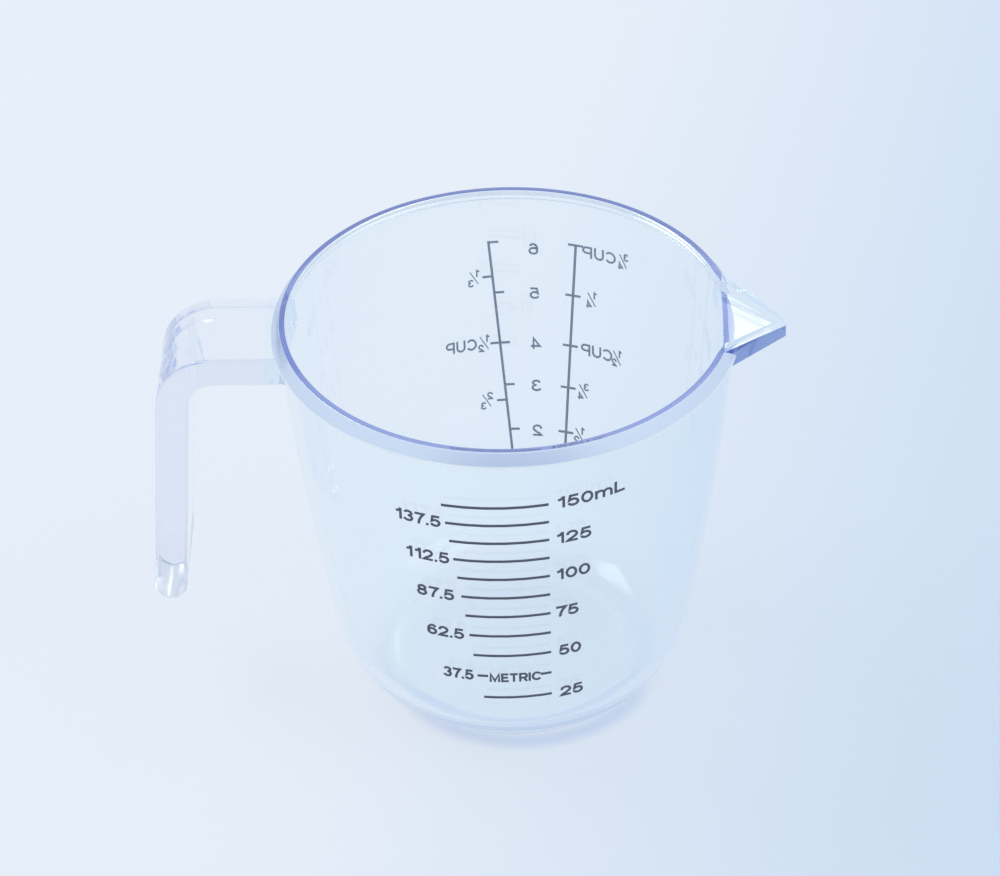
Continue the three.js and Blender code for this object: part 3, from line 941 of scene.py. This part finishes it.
for number, (top, bottom, start, depth, word) in enumerate(CUP_FRACTIONS):
    foot = ounce_foot(start, start + FRACTION_WIDTH, depth, FRACTION_HEIGHT)
    digits, bar = fraction_strokes(top, bottom, start)
    label = f"cup_label_{number}_{top}_{bottom}"
    print_on_wall(label, OUNCE_SIDE, foot, digits, FRACTION_STROKE, "ounce_ink")
    print_on_wall(label + "_bar", OUNCE_SIDE, foot, [bar], FRACTION_BAR, "ounce_ink")
    if word:
        foot = ounce_foot(start, start + FRACTION_WIDTH, depth, OUNCE_CAP)
        strokes = text_strokes("CUP", word[0], word[1], OUNCE_CAP)
        print_on_wall(label + "_word", OUNCE_SIDE, foot, strokes, OUNCE_STROKE, "ounce_ink")


# Floor: two colours, the direction in which one gives way to the other and the places between which it
# does, in metres, and the share of the colour that shadows can't darken
FLOOR_NEAR, FLOOR_FAR = (0.80, 0.86, 0.945), (0.615, 0.74, 0.900)
DRIFT_DIRECTION = (1.0, -0.22, 0.0)
DRIFT_START, DRIFT_END = -0.040, 0.112
FLOOR_LIFT = 0.85
FLOOR_HALF = 4

# Painted contact shadow along the front of the foot, where it meets the floor: it grows and fades between
# these distances from its centre, and lies in front of these places, in millimetres
PAINTED_SHADOW_COLOUR = (0.80, 0.85, 0.945)
PAINTED_SHADOW_CENTRE = ((AXIS_X + 1.5) * MM, -2.5 * MM, 0)
PAINTED_SHADOW_INSIDE = (17.5, 20.5)
PAINTED_SHADOW_OUTSIDE = (23.5, 20.5)
PAINTED_SHADOW_FRONT = (-4.0, -17.0)


def painted_shadow_share(tree, position):
    """How far each place of the floor takes the colour of the painted contact shadow."""
    reach =tree.nodes.new("ShaderNodeVectorMath")
    reach.operation = "DISTANCE"
    reach.inputs[1].default_value = PAINTED_SHADOW_CENTRE
    tree.links.new(position, reach.inputs[0])
    distance = reach.outputs["Value"]
    limits = (
        (distance, PAINTED_SHADOW_INSIDE),
        (distance, PAINTED_SHADOW_OUTSIDE),
        (split_place(tree, position)["Y"], PAINTED_SHADOW_FRONT),
    )
    inside, outside, front = [
        soft_rise(tree, value, start * MM, end * MM) for value, (start, end) in limits
    ]
    ring = calculate(tree, "MULTIPLY", inside, outside)
    return calculate(tree, "MULTIPLY", ring, front)


def floor_material():
    """Pale floor whose colour drifts across the picture, mostly even light and partly shaded, with a painted
    contact shadow in front of the foot.
    """
    material, tree, shader, output = node_material("floor")
    tree.nodes.remove(shader)
    position = tree.nodes.new("ShaderNodeNewGeometry").outputs["Position"]
    dot = tree.nodes.new("ShaderNodeVectorMath")
    dot.operation = "DOT_PRODUCT"
    dot.inputs[1].default_value = DRIFT_DIRECTION
    tree.links.new(position, dot.inputs[0])
    drift = soft_rise(tree, dot.outputs["Value"], DRIFT_START, DRIFT_END)
    sweep = mix_colours(tree, drift, FLOOR_NEAR, FLOOR_FAR)

    # Painted contact shadow: the floor's colour is darkened in front of the foot
    mix = tree.nodes.new("ShaderNodeMix")
    mix.data_type = "RGBA"
    mix.blend_type = "MULTIPLY"
    mix.inputs["B"].default_value = (*PAINTED_SHADOW_COLOUR, 1)
    tree.links.new(sweep, mix.inputs["A"])
    tree.links.new(painted_shadow_share(tree, position), mix.inputs["Factor"])
    colour = mix.outputs["Result"]

    glow = tree.nodes.new("ShaderNodeEmission")
    tree.links.new(calculate(tree, "MULTIPLY", seen_rays(tree), FLOOR_LIFT), glow.inputs["Strength"])
    tree.links.new(colour, glow.inputs["Color"])
    shade = tree.nodes.new("ShaderNodeVectorMath")
    shade.operation = "SCALE"
    shade.inputs["Scale"].default_value = 1 - FLOOR_LIFT
    tree.links.new(colour, shade.inputs[0])
    matte = tree.nodes.new("ShaderNodeBsdfDiffuse")
    tree.links.new(shade.outputs["Vector"], matte.inputs["Color"])
    add = tree.nodes.new("ShaderNodeAddShader")
    tree.links.new(glow.outputs["Emission"], add.inputs[0])
    tree.links.new(matte.outputs["BSDF"], add.inputs[1])
    tree.links.new(add.outputs["Shader"], output.inputs["Surface"])
    return material


floor_corners = [(x * FLOOR_HALF, y * FLOOR_HALF, 0) for x, y in ((-1, -1), (1, -1), (1, 1), (-1, 1))]
floor = new_object("floor", floor_corners, [(0, 1, 2, 3)])
floor.data.materials.append(floor_material())

# Sky: colours low down and from the height SKY_TOP_AT upwards, its strength, and what is seen instead
SKY_LOW, SKY_TOP = (0.50, 0.58, 0.86), (0.95, 0.97, 1.0)
SKY_TOP_AT = 0.55
SKY_STRENGTH = 0.73
STUDIO_COLOUR = (0.76, 0.85, 0.93)


def make_sky():
    """Soft light from above, and an even pale studio wherever it is seen."""
    world = bpy.data.worlds.new("sky")
    bpy.context.scene.world = world
    world.use_nodes = True
    tree = world.node_tree
    light = tree.nodes["Background"]
    coords = tree.nodes.new("ShaderNodeTexCoord")
    ramp = tree.nodes.new("ShaderNodeValToRGB")
    for stop, at, colour in zip(ramp.color_ramp.elements, (0.0, SKY_TOP_AT), (SKY_LOW, SKY_TOP)):
        stop.position = at
        stop.color = (*colour, 1)
    tree.links.new(split_place(tree, coords.outputs["Generated"])["Z"], ramp.inputs["Fac"])
    tree.links.new(ramp.outputs["Color"], light.inputs["Color"])
    light.inputs["Strength"].default_value = SKY_STRENGTH

    shown = tree.nodes.new("ShaderNodeBackground")
    shown.inputs["Color"].default_value = (*STUDIO_COLOUR, 1)
    surface = mix_shaders(tree, seen_rays(tree), light.outputs["Background"], shown.outputs["Background"])
    tree.links.new(surface, tree.nodes["World Output"].inputs["Surface"])


make_sky()

# Lamps: places and sizes in metres, power in watts
LAMP_TARGET = (AXIS_X * MM, 0, 0.035)


def softbox(name, location, size, power, target=LAMP_TARGET):
    lamp = bpy.data.lights.new(name, "AREA")
    lamp.shape = "RECTANGLE"
    lamp.size, lamp.size_y = size
    lamp.energy = power
    holder = bpy.data.objects.new(name, lamp)
    holder.location = location
    aim = Vector(target) - Vector(location)
    holder.rotation_euler = aim.to_track_quat("-Z", "Y").to_euler()
    bpy.context.scene.collection.objects.link(holder)


softbox("softbox_left", location=(-0.55, 0.25, 0.75), size=(0.5, 0.3), power=2.6)
softbox("softbox_right", location=(0.6, -0.2, 0.7), size=(0.6, 0.6), power=1.5)

# The photograph's view, found from the printed lines and the rim
CAMERA_PLACE = Vector((15.26 + AXIS_X, -565.47, 473.85)) * MM
CAMERA_RIGHT = Vector((0.99964, 0.01401, -0.02293)).normalized()
CAMERA_FORWARD = Vector((-0.0250, 0.7963, -0.6044)).normalized()
FOCAL_PIXELS = 4497.1
CENTRE_PIXEL = (492.9, 431.6)
SENSOR_WIDTH = 36.0
CLIP_START = 0.01

camera_data = bpy.data.cameras.new("camera")
camera_data.sensor_width = SENSOR_WIDTH
camera_data.lens = FOCAL_PIXELS * SENSOR_WIDTH / IMAGE_WIDTH
camera_data.shift_x = (IMAGE_WIDTH / 2 - CENTRE_PIXEL[0]) / IMAGE_WIDTH
camera_data.shift_y = (CENTRE_PIXEL[1] - IMAGE_HEIGHT / 2) / IMAGE_WIDTH
camera_data.clip_start = CLIP_START
camera = bpy.data.objects.new("camera", camera_data)
bpy.context.scene.collection.objects.link(camera)
up = CAMERA_RIGHT.cross(CAMERA_FORWARD).normalized()
right = CAMERA_FORWARD.cross(up).normalized()
camera.matrix_world = Matrix((
    (right.x, up.x, -CAMERA_FORWARD.x, CAMERA_PLACE.x),
    (right.y, up.y, -CAMERA_FORWARD.y, CAMERA_PLACE.y),
    (right.z, up.z, -CAMERA_FORWARD.z, CAMERA_PLACE.z),
    (0, 0, 0, 1),
))
bpy.context.scene.camera = camera

# A small lamp that the floor of the spout mirrors towards the photograph's view
SHINE_X = 38.0
SHINE_TILT = math.radians(2.7)
SHINE_DISTANCE = 0.9
shine_place = Vector((SHINE_X + AXIS_X, 0.0, CUP_HEIGHT - SPOUT_FLOOR_DROP)) * MM
shine_normal = Vector((math.sin(SHINE_TILT), 0, math.cos(SHINE_TILT)))
sight = (shine_place - CAMERA_PLACE).normalized()
mirrored = sight - 2 * sight.dot(shine_normal) * shine_normal
shine_lamp_place = shine_place + mirrored * SHINE_DISTANCE
softbox("softbox_spout", shine_lamp_place, size=(0.126, 0.126), power=0.11, target=shine_place)

BOUNCES = 24
scene = bpy.context.scene
scene.view_settings.view_transform = "Standard"
scene.cycles.max_bounces = BOUNCES
scene.cycles.transmission_bounces = BOUNCES
scene.cycles.glossy_bounces = BOUNCES
